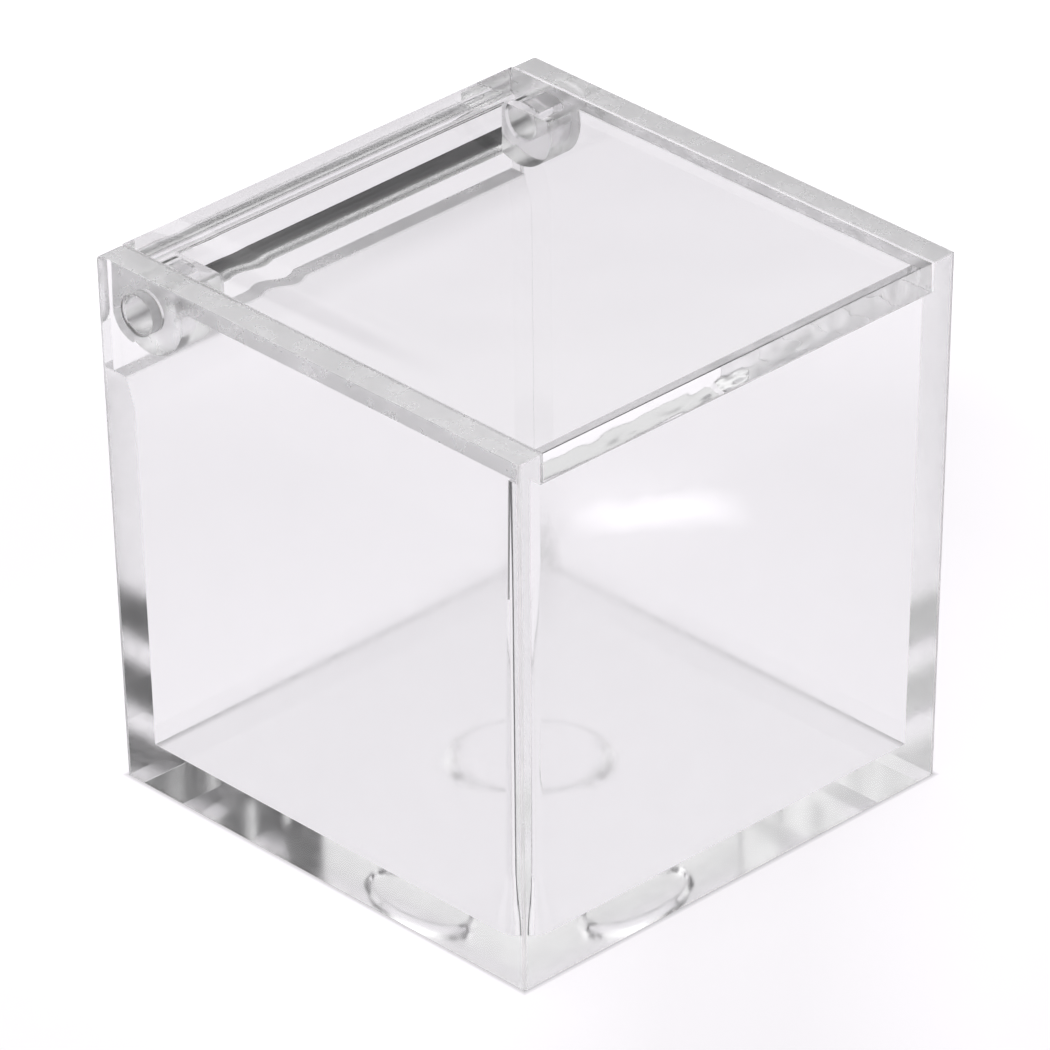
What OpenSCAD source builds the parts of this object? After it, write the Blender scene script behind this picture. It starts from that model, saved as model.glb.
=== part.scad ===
// Clear display cube: a drafted, moulded box with a flush hinged lid.
// Millimetres, +Z up. The origin is the centre of the underside of the base.
// The lid is lifted at the front, which faces -Y. The hinge runs along X at the rear.

/* [Box] */
// Height of the closed box
box_h = 57; // [54:1:62]
// Width and depth across the top of the walls
top_w = 56.6; // [54:0.2:62]
// Draft of each wall, in degrees
draft = 1; // [0.6:0.1:1.2]
// Thickness of the four walls
wall_t = 2.7; // [2.4:0.1:3.2]
// Thickness of the base
base_t = 4; // [3:0.5:5]
// Height that the rear wall stops short of the top
rear_drop = 13; // [12:0.1:14]

/* [Gate mark] */
// Diameter of the shallow round recess under the base
gate_d = 14.6; // [8:0.2:20]
// Depth of that recess
gate_depth = 0.5; // [0.2:0.1:1]

/* [Lid] */
// Thickness of the lid plate
lid_t = 3.1; // [2.6:0.1:3.4]
// Gap between each end of the lid and the side wall, at the top
end_gap = 0.3; // [0.25:0.05:0.4]
// Gap between the lid plate and the top of the front wall
seat_gap = 0.1; // [0.05:0.05:0.2]
// Distance from the rear face of the box to the rear face of the lid
rear_inset = 0.3; // [0.2:0.1:0.5]
// Thickness of the rear skirt that hangs from the lid
skirt_t = 2.8; // [2.4:0.1:3]
// Depth of the skirt below the top of the box
skirt_drop = 9.2; // [8.6:0.1:10]
// Radius of the skirt's lower rear edge
skirt_round = 2.5; // [1:0.1:2.6]
// Radius of the cove between the plate and the skirt
cove_r = 0.7; // [0.3:0.1:2]

/* [Hinge] */
// Distance from the rear face of the box to the hinge axis
axis_in = 5.35; // [5.2:0.05:5.5]
// Distance from the top of the box to the hinge axis
axis_down = 4.6; // [4.6:0.05:4.8]
// Radius of the round ear at each end of the lid
ear_r = 4.55; // [4.3:0.05:4.55]
// Width of each ear, along the hinge
ear_w = 4; // [3.6:0.1:5]
// Radius of the hinge pins
pin_r = 2.1; // [1.6:0.1:2.2]
// Radial running clearance of a pin in its ear
pin_fit = 0.06; // [0.03:0.01:0.1]
// Length of each pin inside its ear
pin_grip = 3; // [2:0.1:3.2]

/* [Hidden] */

$fn = 128;
over = 1;                                  // how far a cutter runs past the face it cuts
clear_acrylic = [0.93, 0.94, 0.95, 0.35];

lean = tan(draft);                         // sideways growth of a wall for each millimetre of height
top_half = top_w / 2;
axis_y = top_half - axis_in;
axis_z = box_h - axis_down;
lid_half = top_half - wall_t - end_gap;    // half the length of the lid along X
lid_under = box_h - lid_t;                 // height of the plate's underside
lid_rear = top_half - rear_inset;          // rear face of the lid
skirt_front = lid_rear - skirt_t;          // inner face of the skirt
skirt_low = box_h - skirt_drop;            // underside of the skirt
ear_inner = lid_half - ear_w;              // inner side of each ear
pin_end_gap = 0.2;                         // room past the blind end of a pin
pin_recess = 0.1;                          // how far a pin sits in from the outer face
pin_outer = outer_half(axis_z) - pin_recess;

// Half the width of the box at a height, outside and inside the walls
function outer_half(z) = top_half - (box_h - z) * lean;
function inner_half(z) = outer_half(z) - wall_t;

// A prism along Y whose two sides lean outwards by the draft
module drafted_span(low, high, half_low, half_high) {
    outline = [[-half_low, low], [half_low, low], [half_high, high], [-half_high, high]];
    rotate([90, 0, 0])
        linear_extrude(2 * top_w, center = true)
            polygon(outline);
}

// A block whose four sides all lean outwards by the draft
module drafted_block(low, high, half_low, half_high) {
    intersection() {
        drafted_span(low, high, half_low, half_high);
        rotate([0, 0, 90])
            drafted_span(low, high, half_low, half_high);
    }
}

// The room between the left and right walls, above a height and between two Y positions
module opening_above(low, front, rear) {
    intersection() {
        drafted_span(base_t, box_h + over, inner_half(base_t), inner_half(box_h + over));
        translate([-top_w, front, low])
            cube([2 * top_w, rear - front, box_h + 2 * over - low]);
    }
}

// A cylinder along X, centred on the hinge axis, between two X positions
module on_hinge_axis(radius, from, to) {
    translate([from, axis_y, axis_z])
        rotate([0, 90, 0])
            cylinder(r = radius, h = to - from);
}

module body() {
    color(clear_acrylic)
        difference() {
            drafted_block(0, box_h, outer_half(0), outer_half(box_h));
            drafted_block(base_t, box_h + over, inner_half(base_t), inner_half(box_h + over));
            // The front wall stops under the lid plate
            opening_above(lid_under - seat_gap, -top_w, 0);
            // The rear wall stops below the hinge
            opening_above(box_h - rear_drop, 0, top_w);
            on_hinge_axis(pin_r, -top_half - over, over - inner_half(axis_z));
            on_hinge_axis(pin_r, inner_half(axis_z) - over, top_half + over);
            translate([0, 0, -over])
                cylinder(d = gate_d, h = over + gate_depth);
        }
}

// Hangs from the rear of the plate. Its lower rear edge is rounded, so that it clears the rear wall
module skirt(from, to) {
    difference() {
        translate([from, skirt_front, skirt_low])
            cube([to - from, skirt_t, skirt_drop - lid_t / 2]);
        difference() {
            translate([from - over, lid_rear - skirt_round, skirt_low - over])
                cube([to - from + 2 * over, skirt_round + over, skirt_round + over]);
            translate([from - over, lid_rear - skirt_round, skirt_low + skirt_round])
                rotate([0, 90, 0])
                    cylinder(r = skirt_round, h = to - from + 2 * over);
        }
    }
}

// Fills the corner between the plate and the skirt, leaving a round cove
module cove(from, to) {
    difference() {
        translate([from, skirt_front - cove_r, lid_under - cove_r])
            cube([to - from, cove_r + skirt_t / 2, cove_r + lid_t / 2]);
        translate([from - over, skirt_front - cove_r, lid_under - cove_r])
            rotate([0, 90, 0])
                cylinder(r = cove_r, h = to - from + 2 * over);
    }
}

module lid() {
    color(clear_acrylic)
        difference() {
            union() {
                translate([-lid_half, -top_half, lid_under])
                    cube([2 * lid_half, top_half + lid_rear, lid_t]);
                skirt(-lid_half, lid_half);
                cove(-lid_half, lid_half);
                on_hinge_axis(ear_r, -lid_half, -ear_inner);
                on_hinge_axis(ear_r, ear_inner, lid_half);
            }
            on_hinge_axis(pin_r + pin_fit, -lid_half - over, -lid_half + pin_grip + pin_end_gap);
            on_hinge_axis(pin_r + pin_fit, lid_half - pin_grip - pin_end_gap, lid_half + over);
        }
}

module hinge_pin_left() {
    color(clear_acrylic)
        on_hinge_axis(pin_r, -pin_outer, -lid_half + pin_grip);
}

module hinge_pin_right() {
    color(clear_acrylic)
        on_hinge_axis(pin_r, lid_half - pin_grip, pin_outer);
}

body();
lid();
hinge_pin_left();
hinge_pin_right();
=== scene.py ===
"""Looks of the clear display cube: moulded box, flush hinged lid and two hinge pins.

Metres, +Z up, the front faces -Y and the hinge runs along X at the rear.
"""

from math import acos, cos, degrees, pi, radians, sin, sqrt, tan

import bmesh
import bpy
from mathutils import Matrix, Vector


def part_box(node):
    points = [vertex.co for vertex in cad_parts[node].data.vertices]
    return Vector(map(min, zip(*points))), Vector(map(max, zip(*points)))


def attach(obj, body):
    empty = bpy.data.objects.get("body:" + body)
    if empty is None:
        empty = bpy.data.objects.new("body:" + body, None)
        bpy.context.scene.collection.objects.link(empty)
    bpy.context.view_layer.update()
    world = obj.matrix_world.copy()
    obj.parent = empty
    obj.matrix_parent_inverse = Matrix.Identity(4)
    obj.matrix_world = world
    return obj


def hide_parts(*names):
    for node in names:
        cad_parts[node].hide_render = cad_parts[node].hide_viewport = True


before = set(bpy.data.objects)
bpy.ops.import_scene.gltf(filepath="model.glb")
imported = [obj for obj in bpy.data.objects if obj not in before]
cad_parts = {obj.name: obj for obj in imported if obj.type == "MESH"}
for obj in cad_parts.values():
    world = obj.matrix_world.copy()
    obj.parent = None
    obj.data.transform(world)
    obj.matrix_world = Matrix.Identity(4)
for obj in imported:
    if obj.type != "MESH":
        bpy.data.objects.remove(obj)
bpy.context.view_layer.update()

MM = 0.001

# ---------------------------------------------------------------- sizes, as in the CAD
body_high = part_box("body")[1]
lid_low, lid_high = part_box("lid")
pin_low, pin_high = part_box("hinge_pin_left")

BOX_H = body_high.z
TOP_HALF = body_high.x
DRAFT = radians(1.0)
LEAN = tan(DRAFT)                # how far a wall leans out for each metre of height
WALL = 2.7 * MM
BASE = 4.0 * MM
FRONT_TOP = 53.8 * MM
REAR_TOP = 44.0 * MM
GATE_R = 7.3 * MM
GATE_DEPTH = 0.5 * MM

LID_HALF = lid_high.x
LID_FRONT = lid_low.y
LID_REAR = lid_high.y
LID_UNDER = 53.9 * MM
SKIRT_T = 2.8 * MM
COVE_R = 0.7 * MM
EAR_R = 4.55 * MM
EAR_W = 4.0 * MM

AXIS_Y = (pin_low.y + pin_high.y) / 2
AXIS_Z = (pin_low.z + pin_high.z) / 2
PIN_R = (pin_high.z - pin_low.z) / 2
PIN_FIT = 0.06 * MM
PIN_GRIP = 3.0 * MM
PIN_END_GAP = 0.2 * MM
BORE_R = PIN_R
EAR_BORE_R = PIN_R + PIN_FIT

# ---------------------------------------------------------------- sizes of the finer shapes
EDGE_R = 0.3 * MM
REAR_CORNER_R = 0.8 * MM
INNER_CORNER_R = 2.4 * MM        # round of the upright corners inside, at the floor
CORNER_OPENS = 7 * MM            # height over which that round narrows
CORNER_LEAST = 0.012             # share of the round that is left above it
FRONT_CORNER_LEAST = 0.5         # the same for the front left corner
INNER_FLOOR_R = 1.0 * MM
LIP_DEPTH = 3.0 * MM             # the rear wall thins toward its top, on the inside
LIP_INSET = 1.0 * MM
GATE_RIM_R = GATE_R - 0.15 * MM
GATE_EASE = 0.6 * MM
GATE_GROOVE = 0.9 * MM
BORE_FLARE = 0.12 * MM

LID_EDGE_R = 0.09 * MM
LID_END_R = 0.15 * MM
SKIRT_LOW = lid_low.z + 0.28 * MM
SKIRT_ROUND = 2.9 * MM
SINK_X = -20.3 * MM              # where the moulding sank a little, just inboard of the left ear
SINK_HALF = 2.8 * MM
SINK_DEPTH = 0.04 * MM
SINK_FADE = (-14 * MM, 14 * MM)  # the sink dies away forward between these Y positions

PIN_SHRINK = 0.02 * MM
PIN_EASE = 0.25 * MM
PIN_CROWN = 0.06 * MM

BORE_SIDES = 96                  # sides of the many-sided rounds
PIN_SIDES = 96
EAR_SIDES = 120
GATE_SIDES = 128

TOUCH = 0.01 * MM                # points this close count as touching
WELD = 0.001 * MM
FLAT_ANGLE = radians(0.05)       # faces this near to level with each other are merged
LEVEL_ANGLE = radians(0.06)      # faces this near to a flat plane of the solid belong to it


def outer_half(z):
    """Half the width of the box outside its walls, at a height."""
    return TOP_HALF - (BOX_H - z) * LEAN


def inner_half(z):
    """Half the width of the box inside its walls, at a height."""
    return outer_half(z) - WALL


# ---------------------------------------------------------------- mesh helpers
def fade_in(value, start, end):
    """Rises smoothly from 0 at start to 1 at end."""
    share = min(max((value - start) / (end - start), 0), 1)
    return share * share * (3 - 2 * share)


def mesh_object(name, mesh_data):
    """A new object in the scene that holds a mesh."""
    obj = bpy.data.objects.new(name, mesh_data)
    bpy.context.scene.collection.objects.link(obj)
    return obj


def object_from_bmesh(name, bm):
    """Turns a bmesh into an object."""
    mesh_data = bpy.data.meshes.new(name)
    bmesh.ops.recalc_face_normals(bm, faces=bm.faces)
    bm.to_mesh(mesh_data)
    bm.free()
    return mesh_object(name, mesh_data)


def turned_solid(name, profile, sides):
    """Revolves (x, radius) points round the hinge axis. The first and last radius may be 0."""
    bm = bmesh.new()
    rings = []
    for x, radius in profile:
        if radius == 0:
            rings.append([bm.verts.new((x, AXIS_Y, AXIS_Z))])
            continue
        ring = []
        for i in range(sides):
            turn = 2 * pi * (i + 0.5) / sides
            place = (x, AXIS_Y + radius * cos(turn), AXIS_Z + radius * sin(turn))
            ring.append(bm.verts.new(place))
        rings.append(ring)
    for one, two in zip(rings, rings[1:]):
        for i in range(sides):
            j = (i + 1) % sides
            if len(one) == 1:
                bm.faces.new((one[0], two[i], two[j]))
            elif len(two) == 1:
                bm.faces.new((one[i], two[0], one[j]))
            else:
                bm.faces.new((one[i], two[i], two[j], one[j]))
    return object_from_bmesh(name, bm)


def upright_cutter(name, profile, sides):
    """Revolves (z, radius) points round the Z axis, with flat ends."""
    bm = bmesh.new()
    rings = []
    for z, radius in profile:
        ring = []
        for i in range(sides):
            turn = 2 * pi * (i + 0.5) / sides
            ring.append(bm.verts.new((radius * cos(turn), radius * sin(turn), z)))
        rings.append(ring)
    for one, two in zip(rings, rings[1:]):
        for i in range(sides):
            j = (i + 1) % sides
            bm.faces.new((one[i], one[j], two[j], two[i]))
    bm.faces.new(rings[0])
    bm.faces.new(rings[-1])
    return object_from_bmesh(name, bm)


def combine(obj, other, operation):
    """Applies an exact boolean and removes the other object."""
    step = obj.modifiers.new("combine", "BOOLEAN")
    step.solver = "EXACT"
    step.operation = operation
    step.object = other
    graph = bpy.context.evaluated_depsgraph_get()
    result = bpy.data.meshes.new_from_object(obj.evaluated_get(graph))
    obj.modifiers.clear()
    obj.data = result
    bpy.data.objects.remove(other)


def arc_points(centre, radius, start, end, steps):
    """Points on an arc in degrees, as (y, z) pairs, both ends included."""
    points = []
    for i in range(steps + 1):
        turn = radians(start + (end - start) * i / steps)
        points.append((centre[0] + radius * cos(turn), centre[1] + radius * sin(turn)))
    return points


def round_edges(obj, radius, segments, chosen, least_angle=30):
    """Rounds the edges sharper than an angle that chosen(edge) accepts."""
    bm = bmesh.new()
    bm.from_mesh(obj.data)
    edges = []
    for edge in bm.edges:
        if len(edge.link_faces) != 2:
            continue
        if degrees(edge.calc_face_angle(0)) < least_angle:
            continue
        if chosen(edge):
            edges.append(edge)
    bmesh.ops.bevel(
        bm, geom=edges, offset=radius, offset_type="OFFSET", segments=segments,
        profile=0.5, affect="EDGES", clamp_overlap=True, loop_slide=True,
    )
    bm.to_mesh(obj.data)
    bm.free()


def tidy_faces(obj):
    """Welds doubles and merges flat neighbours."""
    bm = bmesh.new()
    bm.from_mesh(obj.data)
    bmesh.ops.remove_doubles(bm, verts=bm.verts, dist=WELD)
    bmesh.ops.dissolve_limit(
        bm, angle_limit=FLAT_ANGLE, verts=bm.verts, edges=bm.edges, delimit=set(),
    )
    bm.to_mesh(obj.data)
    bm.free()


def is_level(normal, flat_normals):
    """True if a face lies in one of the solid's large flat planes."""
    return any(normal.dot(flat) > cos(LEVEL_ANGLE) for flat in flat_normals)


def shade(obj, flat_normals, smooth_angle=35):
    """Gives flat faces exact normals and lets only rounded edges and curved faces blend."""
    data = obj.data
    flats = [is_level(face.normal, flat_normals) for face in data.polygons]
    touching = [[] for _ in data.vertices]
    for face in data.polygons:
        for vertex in face.vertices:
            touching[vertex].append(face.index)
    limit = cos(radians(smooth_angle))
    normals = []
    for face in data.polygons:
        for vertex in face.vertices:
            if flats[face.index]:
                normals.append(face.normal.copy())
                continue
            likeness = {i: data.polygons[i].normal.dot(face.normal) for i in touching[vertex]}
            near = [i for i in likeness if likeness[i] > limit]
            level = [i for i in near if flats[i]]
            if level:
                best = max(level, key=likeness.get)
                normals.append(data.polygons[best].normal.copy())
                continue
            total = Vector((0, 0, 0))
            for i in near:
                total += data.polygons[i].normal * sqrt(data.polygons[i].area)
            normals.append(total.normalized())
    for face in data.polygons:
        face.use_smooth = True
    data.normals_split_custom_set(normals)


UPRIGHT_NORMALS = [
    Vector(v) for v in ((1, 0, 0), (-1, 0, 0), (0, 1, 0), (0, -1, 0), (0, 0, 1), (0, 0, -1))
]
# the walls lean: the outside faces out and down, the inside in and up
LEANING_NORMALS = []
for side in (-1, 1):
    for rise in (-sin(DRAFT), sin(DRAFT)):
        LEANING_NORMALS.append(Vector((side * cos(DRAFT), 0, rise)))
        LEANING_NORMALS.append(Vector((0, side * cos(DRAFT), rise)))


# ---------------------------------------------------------------- box
def wall_outline():
    """(y, z) points round a side wall's inner face, from the front of its top, going rearwards."""
    half = outer_half(BOX_H)
    return [
        (-half, BOX_H),
        (half, BOX_H),
        (outer_half(REAR_TOP), REAR_TOP),
        (inner_half(REAR_TOP), REAR_TOP),
        (inner_half(BASE), BASE),
        (-inner_half(BASE), BASE),
        (-inner_half(FRONT_TOP), FRONT_TOP),
        (-outer_half(FRONT_TOP), FRONT_TOP),
    ]


def gate_profile():
    """(z, radius) points of the round gate recess: an eased rim, a shallow ring groove, a flat floor."""
    steps = 10
    points = [(-1 * MM, GATE_RIM_R)]
    for i in range(steps + 1):
        share = i / steps
        points.append((GATE_GROOVE * fade_in(share, 0, 1), GATE_RIM_R - GATE_EASE * share))
    for i in range(1, steps + 1):
        share = i / steps
        drop = (GATE_GROOVE - GATE_DEPTH) * fade_in(share, 0, 1)
        points.append((GATE_GROOVE - drop, GATE_RIM_R - GATE_EASE * (1 + share)))
    return points


def cut_cavity(bm, height):
    """Adds a level loop of vertices round the inside of the box."""
    faces = [
        face for face in bm.faces
        if all(max(abs(v.co.x), abs(v.co.y)) < inner_half(v.co.z) + TOUCH for v in face.verts)
    ]
    parts = set(faces)
    for face in faces:
        parts.update(face.edges)
        parts.update(face.verts)
    bmesh.ops.bisect_plane(
        bm, geom=list(parts), plane_co=(0, 0, height), plane_no=(0, 0, 1), dist=WELD,
    )


def thin_rear_lip(box):
    """Tapers the inside of the rear wall toward its top."""
    bm = bmesh.new()
    bm.from_mesh(box.data)
    start = REAR_TOP - LIP_DEPTH
    cut_cavity(bm, start)
    for vertex in bm.verts:
        half = inner_half(vertex.co.z)
        on_rear_face = abs(vertex.co.y - half) <= 10 * TOUCH and abs(vertex.co.x) <= half + TOUCH
        if on_rear_face and vertex.co.z >= start:
            vertex.co.y += LIP_INSET * (vertex.co.z - start) / LIP_DEPTH
    bm.to_mesh(box.data)
    bm.free()


def open_corners(box):
    """Narrows the rounds of the upright inner corners to almost nothing above the floor."""
    bm = bmesh.new()
    bm.from_mesh(box.data)
    levels = 12
    for i in range(1, levels + 1):
        cut_cavity(bm, BASE + CORNER_OPENS * i / levels)
    for vertex in bm.verts:
        half = inner_half(vertex.co.z)
        near_x, near_y = half - abs(vertex.co.x), half - abs(vertex.co.y)
        if min(near_x, near_y) < -TOUCH or max(near_x, near_y) > INNER_CORNER_R + 5 * TOUCH:
            continue
        least = CORNER_LEAST
        if vertex.co.x < 0 and vertex.co.y < 0:
            least = FRONT_CORNER_LEAST
        share = 1 - fade_in(vertex.co.z, BASE, BASE + CORNER_OPENS)
        # the front right and rear left corners stay sharp all the way down
        if vertex.co.x * vertex.co.y < 0:
            share = 0
        keep = least + (1 - least) * share
        vertex.co.x = (half - near_x * keep) * (1 if vertex.co.x > 0 else -1)
        vertex.co.y = (half - near_y * keep) * (1 if vertex.co.y > 0 else -1)
    bm.to_mesh(box.data)
    bm.free()


def build_box():
    """The box as one closed shell: leaning walls, low front and rear walls, bores, gate recess."""
    bm = bmesh.new()
    inner = {}
    for side in (-1, 1):
        inner[side] = [bm.verts.new((side * inner_half(z), y, z)) for y, z in wall_outline()]
    top = {}
    foot = {}
    for side in (-1, 1):
        for end in (-1, 1):
            half = outer_half(BOX_H)
            low_half = outer_half(0)
            top[side, end] = bm.verts.new((side * half, end * half, BOX_H))
            foot[side, end] = bm.verts.new((side * low_half, end * low_half, 0))
    left, right = inner[-1], inner[1]
    for side in (-1, 1):
        ring = inner[side]
        bm.faces.new(ring)
        bm.faces.new((top[side, -1], top[side, 1], foot[side, 1], foot[side, -1]))
        bm.faces.new((ring[0], ring[1], top[side, 1], top[side, -1]))
    # the rear and front faces, each with a low middle
    bm.faces.new((
        top[-1, 1], left[1], left[2], right[2], right[1], top[1, 1], foot[1, 1], foot[-1, 1],
    ))
    bm.faces.new((
        top[-1, -1], left[0], left[7], right[7], right[0], top[1, -1], foot[1, -1], foot[-1, -1],
    ))
    bm.faces.new((foot[-1, -1], foot[1, -1], foot[1, 1], foot[-1, 1]))
    # tops of the low walls, their inner faces and the floor of the box
    for i in range(2, 7):
        bm.faces.new((left[i], left[i + 1], right[i + 1], right[i]))
    box = object_from_bmesh("box_shell", bm)

    def is_rear_corner(edge):
        return all(v.co.z > BOX_H - TOUCH and v.co.y > TOP_HALF - TOUCH for v in edge.verts)

    def is_inner_corner(edge):
        low, high = sorted(v.co.z for v in edge.verts)
        if high - low < BOX_H / 2:
            return False
        return all(
            abs(abs(reach) - inner_half(v.co.z)) < TOUCH for v in edge.verts for reach in v.co.xy
        )

    def is_inner_floor(edge):
        return all(abs(v.co.z - BASE) < TOUCH for v in edge.verts)

    round_edges(box, REAR_CORNER_R, segments=8, chosen=is_rear_corner)
    round_edges(box, INNER_CORNER_R, segments=10, chosen=is_inner_corner)
    open_corners(box)
    round_edges(box, INNER_FLOOR_R, segments=6, chosen=is_inner_floor)
    thin_rear_lip(box)
    clear = 1 * MM
    for side in (-1, 1):
        near, mouth = inner_half(AXIS_Z) - clear, outer_half(AXIS_Z)
        profile = [
            (near, 0),
            (near, BORE_R),
            (mouth - BORE_FLARE, BORE_R),
            (mouth + clear, BORE_R + BORE_FLARE + clear),
            (mouth + clear, 0),
        ]
        bore = turned_solid("bore", [(side * x, r) for x, r in profile], BORE_SIDES)
        combine(box, bore, "DIFFERENCE")
    combine(box, upright_cutter("gate", gate_profile(), GATE_SIDES), "DIFFERENCE")
    tidy_faces(box)

    def is_off_bores(edge):
        for v in edge.verts:
            if sqrt((v.co.y - AXIS_Y) ** 2 + (v.co.z - AXIS_Z) ** 2) < BORE_R + 2 * BORE_FLARE:
                return False
        return True

    round_edges(box, EDGE_R, segments=3, chosen=is_off_bores)
    shade(box, UPRIGHT_NORMALS + LEANING_NORMALS)
    return box


# ---------------------------------------------------------------- lid
def lid_outline():
    """(y, z) points round the lid's section: plate, skirt with its round, and cove."""
    points = arc_points((LID_FRONT + LID_EDGE_R, BOX_H - LID_EDGE_R), LID_EDGE_R, 180, 90, 3)
    rows = 20
    first, last = LID_FRONT + EDGE_R, LID_REAR - EDGE_R
    for i in range(1, rows):
        points.append((first + (last - first) * i / rows, BOX_H))
    points += arc_points((LID_REAR - LID_EDGE_R, BOX_H - LID_EDGE_R), LID_EDGE_R, 90, 0, 3)
    # the rear foot of the skirt is one large round that runs out at its front face
    sweep = degrees(acos(1 - (SKIRT_T - LID_EDGE_R) / SKIRT_ROUND))
    round_z = SKIRT_LOW + SKIRT_ROUND * sin(radians(sweep))
    points += arc_points((LID_REAR - SKIRT_ROUND, round_z), SKIRT_ROUND, 0, -sweep, 20)
    skirt_front = LID_REAR - SKIRT_T
    points += [(skirt_front, SKIRT_LOW + LID_EDGE_R)]
    points += arc_points((skirt_front - COVE_R, LID_UNDER - COVE_R), COVE_R, 0, 90, 9)
    points += arc_points((LID_FRONT + LID_EDGE_R, LID_UNDER + LID_EDGE_R), LID_EDGE_R, 270, 180, 3)
    return points


def lid_stations():
    """X positions of the lid's sections, closer together where the surface sinks."""
    steps = 26
    fine = [SINK_X + SINK_HALF * (2 * i / steps - 1) for i in range(steps + 1)]
    return sorted([-LID_HALF, -LID_HALF + EAR_W] + fine + [LID_HALF - EAR_W, LID_HALF])


def sink(x, y):
    """How far the lid's top surface dips."""
    across = (x - SINK_X) / SINK_HALF
    if abs(across) >= 1:
        return 0
    return SINK_DEPTH * (0.5 + 0.5 * cos(pi * across)) * fade_in(y, *SINK_FADE)


def build_lid():
    """The lid as one closed solid: plate, rear skirt, two round ears and their bores."""
    outline = lid_outline()
    bm = bmesh.new()
    sections = []
    for x in lid_stations():
        sections.append([bm.verts.new((x, y, z)) for y, z in outline])
    count = len(outline)
    for one, two in zip(sections, sections[1:]):
        for i in range(count):
            j = (i + 1) % count
            bm.faces.new((one[i], one[j], two[j], two[i]))
    bm.faces.new(sections[0])
    bm.faces.new(sections[-1])
    lid = object_from_bmesh("lid_plate", bm)
    for side in (-1, 1):
        outer = side * LID_HALF
        inner = side * (LID_HALF - EAR_W)
        profile = [(outer, 0), (outer, EAR_R), (inner, EAR_R), (inner, 0)]
        combine(lid, turned_solid("ear", profile, EAR_SIDES), "UNION")
    for side in (-1, 1):
        mouth = side * (LID_HALF + 1 * MM)
        blind = side * (LID_HALF - PIN_GRIP - PIN_END_GAP)
        profile = [(mouth, 0), (mouth, EAR_BORE_R), (blind, EAR_BORE_R), (blind, 0)]
        combine(lid, turned_solid("bore", profile, BORE_SIDES), "DIFFERENCE")

    def is_end(edge):
        return all(abs(abs(v.co.x) - LID_HALF) < TOUCH for v in edge.verts)

    round_edges(lid, LID_END_R, segments=3, chosen=is_end)
    for vertex in lid.data.vertices:
        if vertex.co.z > BOX_H - WELD:
            vertex.co.z -= sink(vertex.co.x, vertex.co.y)
    shade(lid, UPRIGHT_NORMALS)
    return lid


# ---------------------------------------------------------------- pins
def build_pin(name, side):
    """A short rod with eased ends, slightly crowned where it was trimmed outside."""
    flat_r = PIN_R - PIN_SHRINK - PIN_EASE
    inner = LID_HALF - PIN_GRIP
    rim = max(abs(pin_low.x), abs(pin_high.x)) - PIN_CROWN
    profile = [(inner, 0)]
    profile += arc_points((inner + PIN_EASE, flat_r), PIN_EASE, 180, 90, 6)
    profile += arc_points((rim - PIN_EASE, flat_r), PIN_EASE, 90, 0, 6)
    steps = 8
    for i in range(1, steps + 1):
        share = i / steps
        profile.append((rim + PIN_CROWN * (1 - (1 - share) ** 2), flat_r * (1 - share)))
    pin = turned_solid(name, [(side * x, r) for x, r in profile], PIN_SIDES)
    shade(pin, UPRIGHT_NORMALS)
    return pin


# ---------------------------------------------------------------- materials
class Nodes:
    """Short ways to add nodes to a node tree."""

    def __init__(self, tree):
        self.tree = tree

    def add(self, kind, **values):
        """A new node with some of its inputs set or linked."""
        node = self.tree.nodes.new(kind)
        for name, value in values.items():
            self.put(node.inputs[name.replace("_", " ")], value)
        return node

    def put(self, socket, value):
        """Links a socket to an output, or gives it a plain value."""
        if isinstance(value, bpy.types.NodeSocket):
            self.tree.links.new(value, socket)
        else:
            socket.default_value = value

    def calc(self, operation, one, two=0.0):
        """A Math node's result."""
        node = self.tree.nodes.new("ShaderNodeMath")
        node.operation = operation
        self.put(node.inputs[0], one)
        self.put(node.inputs[1], two)
        return node.outputs[0]

    def below(self, value, limit, soft):
        """1 where value is under the limit and 0 above it, with a soft change."""
        node = self.add("ShaderNodeMapRange", Value=value)
        node.inputs["From Min"].default_value = limit - soft
        node.inputs["From Max"].default_value = limit + soft
        node.inputs["To Min"].default_value = 1
        node.inputs["To Max"].default_value = 0
        return node.outputs["Result"]

    def above(self, value, limit, soft):
        """1 where value is over the limit and 0 below it, with a soft change."""
        return self.calc("SUBTRACT", 1.0, self.below(value, limit, soft))

    def both(self, one, two):
        """1 only where both masks are 1."""
        return self.calc("MULTIPLY", one, two)

    def noise(self, where, scale, detail=2.0):
        """A noise texture's value."""
        node = self.add("ShaderNodeTexNoise", Vector=where, Scale=scale, Detail=detail)
        return node.outputs["Fac"]

    def along(self, x, y, direction):
        """How far a level place lies in a direction."""
        parts = self.calc("MULTIPLY", x, direction[0]), self.calc("MULTIPLY", y, direction[1])
        return self.calc("ADD", *parts)

    def distance(self, x, y):
        """How far a level place lies from the middle."""
        squares = self.calc("MULTIPLY", x, x), self.calc("MULTIPLY", y, y)
        return self.calc("SQRT", self.calc("ADD", *squares))

    def spread(self, value, low, high, to_low, to_high):
        """Maps one range of values to another."""
        node = self.add("ShaderNodeMapRange", Value=value)
        for name, number in (
            ("From Min", low), ("From Max", high), ("To Min", to_low), ("To Max", to_high),
        ):
            self.put(node.inputs[name], number)
        return node.outputs["Result"]


IOR = 1.49
TINT = (0.995, 0.993, 0.996, 1)
TINT_CLOUD = (0.985, 0.984, 0.988, 1)
MASK_SOFT = 0.04 * MM
FACE_BAND = 0.2 * MM             # a mask takes in what lies this close to its face

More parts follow.
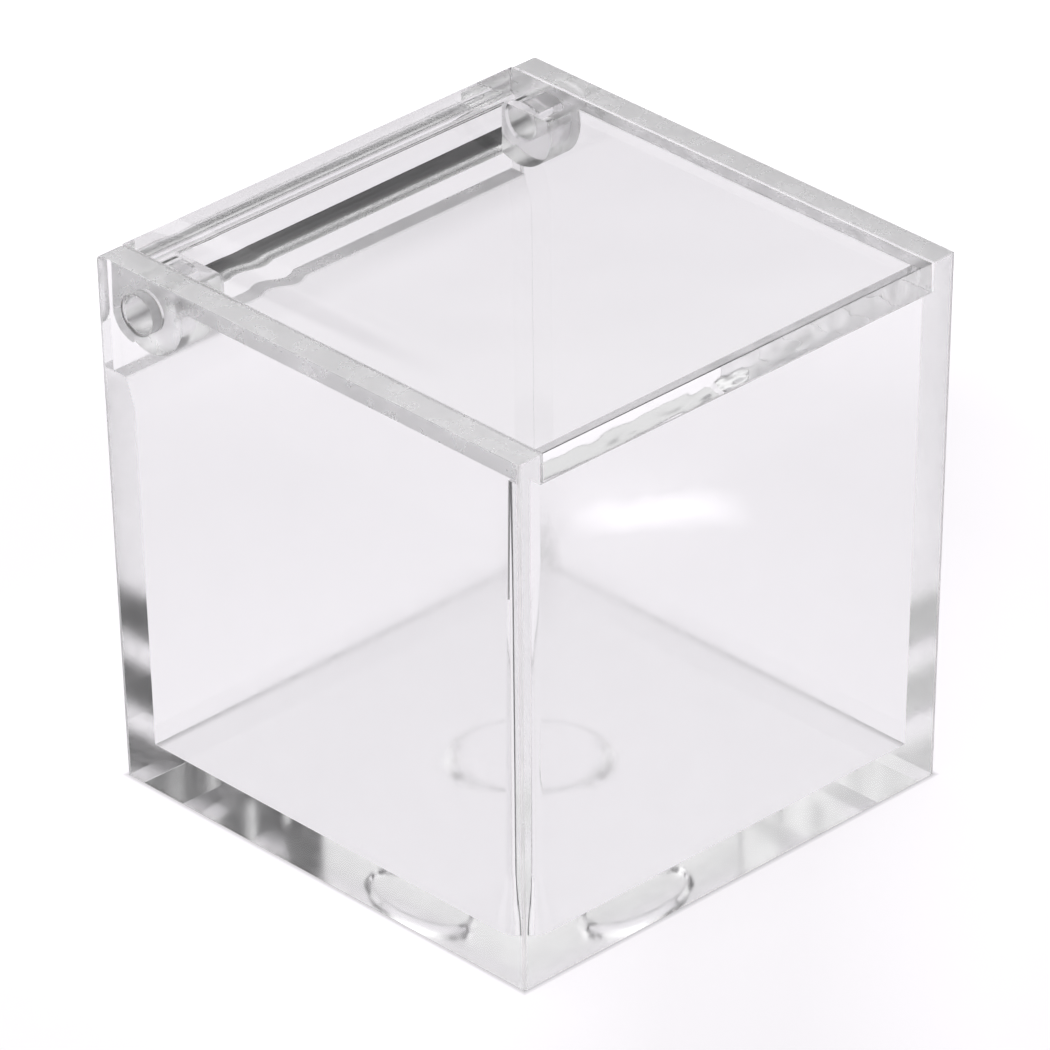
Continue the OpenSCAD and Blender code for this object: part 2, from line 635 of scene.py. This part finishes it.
# haze is roughness, milk is the share of light that scatters instead of passing through
CAVITY_HAZE = 0.11
RIM_DEPTH = 0.12 * MM
RIM_HAZE = 0.3
RIM_MILK = 0.36
REAR_TOP_HAZE = 0.3
REAR_TOP_MILK = 0.1
BORE_HAZE = 0.5
BORE_MILK = 0.08
EDGE_BAND = 0.28 * MM
EDGE_HAZE = 0.35
EDGE_MILK = 0.25
UNDER_HAZE = 0.02
END_HAZE = 0.3
END_MILK = 0.1
EAR_HAZE = 0.2
FOOT_HEIGHT = 0.55 * MM
FOOT_HAZE = 0.28
PIN_HAZE = 0.15
PIN_END_BAND = 0.3 * MM
PIN_INNER_HAZE = 0.05
PIN_INNER_MILK = 0.05

# noise sizes are per metre
POLISH_SCALE = 400
POLISH_SHARE = (0.75, 1.25)      # least and most haze where the polish is uneven
SPECK_SCALE = 1500
SPECK_FROM = (0.68, 0.8)
SPECK_HAZE = 0.08
CLOUD_SCALE = 60
FLOW_SCALE = 70
WAVINESS = 0.01 * MM
MARK_SCALE = 240                 # trimming marks on the lid's front face, deeper to the right
MARK_LEFT = 0.01 * MM
MARK_RIGHT = 0.16 * MM


def near_axis(nodes, y, z, radius):
    """1 within a radius of the hinge axis."""
    across = nodes.calc("POWER", nodes.calc("ABSOLUTE", nodes.calc("SUBTRACT", y, AXIS_Y)), 2.0)
    upward = nodes.calc("POWER", nodes.calc("ABSOLUTE", nodes.calc("SUBTRACT", z, AXIS_Z)), 2.0)
    distance = nodes.calc("SQRT", nodes.calc("ADD", across, upward))
    return nodes.below(distance, radius + 2 * MASK_SOFT, MASK_SOFT)


def strongest(nodes, *masked):
    """The largest of several (mask, amount) products."""
    total = 0.0
    for mask, amount in masked:
        total = nodes.calc("MAXIMUM", nodes.calc("MULTIPLY", mask, amount), total)
    return total


def box_masks(nodes, x, y, z):
    """Masks: faces of the cavity, tops of the side walls and rear wall, bores, upright edges."""
    reach = nodes.calc("MAXIMUM", nodes.calc("ABSOLUTE", x), nodes.calc("ABSOLUTE", y))
    lean = nodes.calc("MULTIPLY", nodes.calc("SUBTRACT", BOX_H, z), LEAN)
    inside = nodes.both(
        nodes.below(nodes.calc("ADD", reach, lean), TOP_HALF - WALL / 2, MASK_SOFT),
        nodes.above(z, BASE / 2, MASK_SOFT),
    )
    rim = nodes.above(z, BOX_H - RIM_DEPTH, MASK_SOFT)
    rear_top = nodes.both(
        nodes.both(
            nodes.above(z, REAR_TOP - FACE_BAND, MASK_SOFT),
            nodes.below(z, REAR_TOP + FACE_BAND / 2, MASK_SOFT),
        ),
        nodes.both(
            nodes.above(y, inner_half(REAR_TOP) - MASK_SOFT, MASK_SOFT),
            nodes.below(nodes.calc("ABSOLUTE", x), inner_half(REAR_TOP), MASK_SOFT),
        ),
    )
    least = nodes.calc("MINIMUM", nodes.calc("ABSOLUTE", x), nodes.calc("ABSOLUTE", y))
    upright = nodes.above(nodes.calc("ADD", least, lean), TOP_HALF - EDGE_BAND, MASK_SOFT)
    return inside, rim, rear_top, near_axis(nodes, y, z, BORE_R), upright


def box_finish(nodes, x, y, z):
    """Haze, milk and relief of the box: less polished in the cavity, matt tops and edges."""
    inside, rim, rear_top, bore, upright = box_masks(nodes, x, y, z)
    haze = strongest(
        nodes, (inside, CAVITY_HAZE), (rim, RIM_HAZE), (rear_top, REAR_TOP_HAZE), (bore, BORE_HAZE),
        (upright, EDGE_HAZE),
    )
    milk = strongest(
        nodes, (rim, RIM_MILK), (rear_top, REAR_TOP_MILK), (bore, BORE_MILK), (upright, EDGE_MILK),
    )
    return haze, milk, 0.0


def lid_finish(nodes, x, y, z):
    """Haze, milk and relief of the lid: hazy ears, foot and ends, marks along its front face."""
    far_x = nodes.calc("ABSOLUTE", x)
    under = nodes.both(
        nodes.both(
            nodes.below(z, LID_UNDER + FACE_BAND, MASK_SOFT),
            nodes.above(z, LID_UNDER - FACE_BAND, MASK_SOFT),
        ),
        nodes.below(y, LID_REAR - SKIRT_T - COVE_R, MASK_SOFT),
    )
    ends = nodes.above(far_x, LID_HALF - FACE_BAND / 2, MASK_SOFT)
    foot = nodes.both(
        nodes.below(z, SKIRT_LOW + FOOT_HEIGHT, MASK_SOFT),
        nodes.below(far_x, LID_HALF - EAR_W, MASK_SOFT),
    )
    ears = nodes.both(
        nodes.above(far_x, LID_HALF - EAR_W - MASK_SOFT, MASK_SOFT),
        near_axis(nodes, y, z, EAR_R),
    )
    haze = strongest(
        nodes, (under, UNDER_HAZE), (ends, END_HAZE), (ears, EAR_HAZE), (foot, FOOT_HAZE),
    )
    front = nodes.below(y, LID_FRONT + FACE_BAND, MASK_SOFT)
    marks = nodes.add("ShaderNodeCombineXYZ", X=x, Y=y, Z=nodes.calc("MULTIPLY", z, 2.0)).outputs[0]
    height = nodes.spread(x, -LID_HALF, LID_HALF, MARK_LEFT, MARK_RIGHT)
    relief = nodes.both(front, nodes.calc("MULTIPLY", nodes.noise(marks, MARK_SCALE, 1.0), height))
    return haze, nodes.both(ends, END_MILK), relief


def pin_finish(nodes, x, y, z):
    """Haze, milk and relief of a pin, hazier away from its trimmed end."""
    inner = nodes.below(nodes.calc("ABSOLUTE", x), TOP_HALF - PIN_END_BAND, PIN_END_BAND)
    haze = nodes.calc("ADD", PIN_HAZE, nodes.both(inner, PIN_INNER_HAZE))
    return haze, nodes.both(inner, PIN_INNER_MILK), 0.0


def clear_acrylic(name, finish):
    """Clear moulded acrylic: faint flow waves, uneven polish and a trace of cloud in its colour."""
    material = bpy.data.materials.new(name)
    material.use_nodes = True
    nodes = Nodes(material.node_tree)
    shader = material.node_tree.nodes["Principled BSDF"]
    shader.inputs["IOR"].default_value = IOR
    place = nodes.add("ShaderNodeTexCoord").outputs["Object"]
    split = nodes.add("ShaderNodeSeparateXYZ", Vector=place)
    x, y, z = (split.outputs[axis] for axis in "XYZ")
    haze, milk, relief = finish(nodes, x, y, z)
    nodes.put(shader.inputs["Transmission Weight"], nodes.calc("SUBTRACT", 1.0, milk))

    uneven = nodes.spread(nodes.noise(place, POLISH_SCALE, 4), 0.3, 0.7, *POLISH_SHARE)
    polish = nodes.calc("MULTIPLY", haze, uneven)
    specks = nodes.spread(nodes.noise(place, SPECK_SCALE, 3), *SPECK_FROM, 0.0, SPECK_HAZE)
    nodes.put(shader.inputs["Roughness"], nodes.calc("MAXIMUM", polish, specks))

    colour = nodes.add("ShaderNodeMix")
    colour.data_type = "RGBA"
    colour.inputs["A"].default_value = TINT
    colour.inputs["B"].default_value = TINT_CLOUD
    nodes.put(colour.inputs["Factor"], nodes.noise(place, CLOUD_SCALE))
    nodes.put(shader.inputs["Base Color"], colour.outputs["Result"])

    flow = nodes.calc("MULTIPLY", nodes.noise(place, FLOW_SCALE, 1.0), WAVINESS)
    bump = nodes.add("ShaderNodeBump", Height=nodes.calc("ADD", flow, relief))
    bump.inputs["Strength"].default_value = 1.0
    bump.inputs["Distance"].default_value = 1.0
    nodes.put(shader.inputs["Normal"], bump.outputs["Normal"])
    return material


# ---------------------------------------------------------------- table
TABLE_R = 0.195
TABLE_GAP = 0.02 * MM            # keeps the table's face just clear of the underside
TABLE_COLOUR = (0.17, 0.165, 0.17, 1)
TABLE_ROUGHNESS = 0.9
TABLE_GLOW = (0.83, 0.81, 0.84, 1)
GLOW_NEAR = 0.96                 # strength of the glow under the box
# the glow falls to a painted soft shade ring round the box, then rises far off
GLOW_FALLS = (35 * MM, 65 * MM)
GLOW_LEAST = 0.87
GLOW_RISES = (82 * MM, 115 * MM)
GLOW_GAIN = 0.15
TABLE_LIFT = 0.16                # extra glow for the camera, which makes the table white
CONTACT_AT = 0.4 * MM            # this far inside the foot of the walls the painted contact shadow is darkest
CONTACT_HALF = 1.0 * MM
CONTACT_KEEP = 0.25
SHADOW_TOWARD = (0.656, -0.755)  # a faint broad painted shadow at the front right
SHADOW_MIDDLE = 22 * MM
SHADOW_HALF = 6 * MM
SHADOW_END = 24 * MM
SHADOW_LIFT = 0.05
FADE_FROM = 60 * MM              # far off, the table fades into the white backdrop
FADE_FULL = 160 * MM
FADE_LIFT = 0.4
# a painted pool of light on the table, seen only in reflections
POOL_START = (36.5 * MM, -83.2 * MM)
POOL_END = (47.2 * MM, -75.2 * MM)
POOL_HALF = 2.5 * MM
POOL_SOFT = 1.6 * MM
POOL_END_SOFT = 3.0 * MM
POOL_WANDER = 6.0 * MM
POOL_WANDER_SCALE = 110
POOL_STRENGTH = 3.4


def painted_light_pool(nodes, place, x, y):
    """A short painted pool of window light, glowing in the table's emission, whose reflection shows in
    the front wall.
    """
    start, end = Vector(POOL_START), Vector(POOL_END)
    length = (end - start).length
    along = (end - start) / length
    dx = nodes.calc("SUBTRACT", x, start.x)
    dy = nodes.calc("SUBTRACT", y, start.y)
    run = nodes.along(dx, dy, (along.x, along.y))
    off = nodes.along(dx, dy, (-along.y, along.x))
    uneven = nodes.calc("SUBTRACT", nodes.noise(place, POOL_WANDER_SCALE), 0.5)
    off = nodes.calc("ADD", off, nodes.calc("MULTIPLY", uneven, POOL_WANDER))
    from_middle = nodes.calc("ABSOLUTE", nodes.calc("SUBTRACT", run, length / 2))
    within = nodes.below(from_middle, length / 2, POOL_END_SOFT)
    beside = nodes.below(nodes.calc("ABSOLUTE", off), POOL_HALF, POOL_SOFT)
    return nodes.both(within, beside)


def table_glow_with_painted_ring(nodes, far_off):
    """The table's own glow, dimmer in a broad soft ring of painted shade round the box."""
    glow = nodes.spread(far_off, *GLOW_FALLS, GLOW_NEAR, GLOW_LEAST)
    return nodes.calc("ADD", glow, nodes.spread(far_off, *GLOW_RISES, 0.0, GLOW_GAIN))


def camera_lift_with_painted_shadow(nodes, x, y, far_off):
    """The extra glow that the camera sees: less in a painted shadow, more far off."""
    toward = nodes.along(x, y, SHADOW_TOWARD)
    from_shadow = nodes.calc("ABSOLUTE", nodes.calc("SUBTRACT", toward, SHADOW_MIDDLE))
    lift = nodes.spread(from_shadow, SHADOW_HALF, SHADOW_END, SHADOW_LIFT, TABLE_LIFT)
    fade = nodes.spread(far_off, FADE_FROM, FADE_FULL, 0.0, FADE_LIFT)
    return nodes.calc("MAXIMUM", lift, fade)


def painted_contact_shade(nodes, x, y):
    """What is left of the glow near the foot of the walls: a painted contact shadow, where little light
    would reach.
    """
    reach = nodes.calc("MAXIMUM", nodes.calc("ABSOLUTE", x), nodes.calc("ABSOLUTE", y))
    foot = outer_half(0) - CONTACT_AT
    from_foot = nodes.calc("ABSOLUTE", nodes.calc("SUBTRACT", reach, foot))
    return nodes.spread(from_foot, 0.0, CONTACT_HALF, CONTACT_KEEP, 1.0)


def table_material():
    """A pale softly glowing table top, with painted contact shade, a painted shadow, a painted shade
    ring and a painted pool of light.
    """
    material = bpy.data.materials.new("studio_table")
    material.use_nodes = True
    nodes = Nodes(material.node_tree)
    shader = material.node_tree.nodes["Principled BSDF"]
    shader.inputs["Base Color"].default_value = TABLE_COLOUR
    shader.inputs["Roughness"].default_value = TABLE_ROUGHNESS
    shader.inputs["Specular IOR Level"].default_value = 0.0
    shader.inputs["Emission Color"].default_value = TABLE_GLOW

    place = nodes.add("ShaderNodeTexCoord").outputs["Object"]
    split = nodes.add("ShaderNodeSeparateXYZ", Vector=place)
    x, y = split.outputs["X"], split.outputs["Y"]
    seen = nodes.add("ShaderNodeLightPath").outputs["Is Camera Ray"]
    unseen = nodes.calc("SUBTRACT", 1.0, seen)
    # the painted pool of light, hidden from direct camera rays
    pool = nodes.both(painted_light_pool(nodes, place, x, y), unseen)
    far_off = nodes.distance(x, y)
    glow = nodes.calc(
        "ADD", table_glow_with_painted_ring(nodes, far_off), nodes.both(seen, camera_lift_with_painted_shadow(nodes, x, y, far_off)),
    )
    # the painted contact shadow darkens the glow at the foot of the walls
    strength = nodes.calc(
        "ADD", nodes.calc("MULTIPLY", pool, POOL_STRENGTH), nodes.both(glow, painted_contact_shade(nodes, x, y)),
    )
    nodes.put(shader.inputs["Emission Strength"], strength)
    return material


# ---------------------------------------------------------------- pieces
box = build_box()
lid = build_lid()
pins = {"hinge_pin_left": build_pin("pin_left", -1), "hinge_pin_right": build_pin("pin_right", 1)}

box_material = clear_acrylic("box_acrylic", box_finish)
lid_material = clear_acrylic("lid_acrylic", lid_finish)
pin_material = clear_acrylic("pin_acrylic", pin_finish)

for obj, material, body, node, slot in (
    (box, box_material, "box", "body", "box_acrylic"),
    (lid, lid_material, "lid", "lid", "lid_acrylic"),
    (pins["hinge_pin_left"], pin_material, "box", "hinge_pin_left", "pin_acrylic"),
    (pins["hinge_pin_right"], pin_material, "box", "hinge_pin_right", "pin_acrylic"),
):
    obj.data.materials.clear()
    obj.data.materials.append(material)
    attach(obj, body)
    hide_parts(node)

# ---------------------------------------------------------------- studio
table = bpy.data.meshes.new("studio_table")
bm = bmesh.new()
bmesh.ops.create_circle(bm, cap_ends=True, segments=96, radius=TABLE_R)
bm.to_mesh(table)
bm.free()
table.materials.append(table_material())
table_top = mesh_object("studio_table", table)
table_top.location.z = -TABLE_GAP

BACKDROP = 1.1                    # brightness of what the camera sees behind the object
HORIZON_LIGHT = 0.05
HORIZON = 0.479                   # sine of the elevation where the overhead light starts
HORIZON_SOFT = 0.008
LIGHT_LOW = 0.75                  # overhead light at 30 degrees and straight up
LIGHT_TOP = 2.0
LIGHT_LOW_AT = 0.5
DIM_TOWARD = (0.656, -0.755)      # the overhead light starts higher toward the front right
DIM_RAISE = 0.18
DIM_LOSS = 0.85
SHADE_TOWARD = (-0.755, -0.656)   # and is weaker toward the front left
SHADE_LOSS = 0.3
LOW_LIGHT = 0.8                   # a pale wall round the stage, up to the dark band
LOW_LIGHT_TOP = 0.3
LOW_LIGHT_SOFT = 0.06
DARK_TOWARD = (0.62, 0.785)       # but not toward the rear right
DARK_FROM = 0.85
DARK_FULL = 0.93


def studio_world():
    """A broad soft light overhead, a dark band under it, and a white backdrop for the camera."""
    world = bpy.data.worlds.new("studio")
    world.use_nodes = True
    nodes = Nodes(world.node_tree)
    place = nodes.add("ShaderNodeTexCoord").outputs["Generated"]
    split = nodes.add("ShaderNodeSeparateXYZ", Vector=place)
    x, y, z = (split.outputs[axis] for axis in "XYZ")

    def toward(direction):
        return nodes.calc("MAXIMUM", nodes.along(x, y, direction), 0.0)

    height = nodes.calc("SUBTRACT", z, nodes.calc("MULTIPLY", toward(DIM_TOWARD), DIM_RAISE))
    overhead = nodes.above(height, HORIZON, HORIZON_SOFT)
    glow = nodes.spread(z, LIGHT_LOW_AT, 1.0, LIGHT_LOW, LIGHT_TOP)
    shade = nodes.calc("SUBTRACT", 1.0, nodes.calc("MULTIPLY", toward(SHADE_TOWARD), SHADE_LOSS))
    dim = nodes.calc("SUBTRACT", 1.0, nodes.calc("MULTIPLY", toward(DIM_TOWARD), DIM_LOSS))
    light = nodes.calc("MULTIPLY", nodes.both(overhead, glow), nodes.both(shade, dim))
    away = nodes.spread(toward(DARK_TOWARD), DARK_FROM, DARK_FULL, LOW_LIGHT, 0.0)
    low = nodes.both(nodes.below(z, LOW_LIGHT_TOP, LOW_LIGHT_SOFT), away)
    light = nodes.calc("ADD", light, low)
    sky = world.node_tree.nodes["Background"]
    sky.inputs["Color"].default_value = (1, 1, 1, 1)
    nodes.put(sky.inputs["Strength"], nodes.calc("ADD", light, HORIZON_LIGHT))
    backdrop = nodes.add("ShaderNodeBackground", Color=(1, 1, 1, 1), Strength=BACKDROP)
    seen = nodes.add("ShaderNodeLightPath").outputs["Is Camera Ray"]
    mix = nodes.add("ShaderNodeMixShader", Fac=seen)
    nodes.put(mix.inputs[1], sky.outputs["Background"])
    nodes.put(mix.inputs[2], backdrop.outputs["Background"])
    nodes.put(world.node_tree.nodes["World Output"].inputs["Surface"], mix.outputs["Shader"])
    bpy.context.scene.world = world


studio_world()

# ---------------------------------------------------------------- camera
CAMERA_TURN = radians(-43.88)
CAMERA_RISE = radians(29.98)
CAMERA_ROLL = radians(-0.61)
CAMERA_DISTANCE = 0.9497
SENSOR = 36.0
FRAME_SIDE = 1050                 # pixels along each side of the picture
FOCAL = 10028                     # focal length in the same pixels
LENS = FOCAL / FRAME_SIDE * SENSOR
SHIFT = (-2.8 / FRAME_SIDE, -7.7 / FRAME_SIDE)

back = Vector((
    sin(CAMERA_TURN) * cos(CAMERA_RISE), -cos(CAMERA_TURN) * cos(CAMERA_RISE), sin(CAMERA_RISE),
))
level_right = (-back).cross(Vector((0, 0, 1))).normalized()
level_up = level_right.cross(-back)
right = cos(CAMERA_ROLL) * level_right + sin(CAMERA_ROLL) * level_up
up = -sin(CAMERA_ROLL) * level_right + cos(CAMERA_ROLL) * level_up
camera_data = bpy.data.cameras.new("camera")
camera_data.sensor_width = SENSOR
camera_data.lens = LENS
camera_data.shift_x, camera_data.shift_y = SHIFT
camera_data.clip_start = 0.01
camera = bpy.data.objects.new("camera", camera_data)
bpy.context.scene.collection.objects.link(camera)
turn = Matrix((right, up, back)).transposed().to_4x4()
camera.matrix_world = Matrix.Translation(Vector((0, 0, BOX_H / 2)) + back * CAMERA_DISTANCE) @ turn
bpy.context.scene.camera = camera

# light crosses many surfaces of a clear box before it leaves
CLEAR_BOUNCES = 24
GLOSSY_BOUNCES = 12
scene = bpy.context.scene
scene.view_settings.view_transform = "Standard"
scene.cycles.max_bounces = CLEAR_BOUNCES
scene.cycles.transmission_bounces = CLEAR_BOUNCES
scene.cycles.glossy_bounces = GLOSSY_BOUNCES
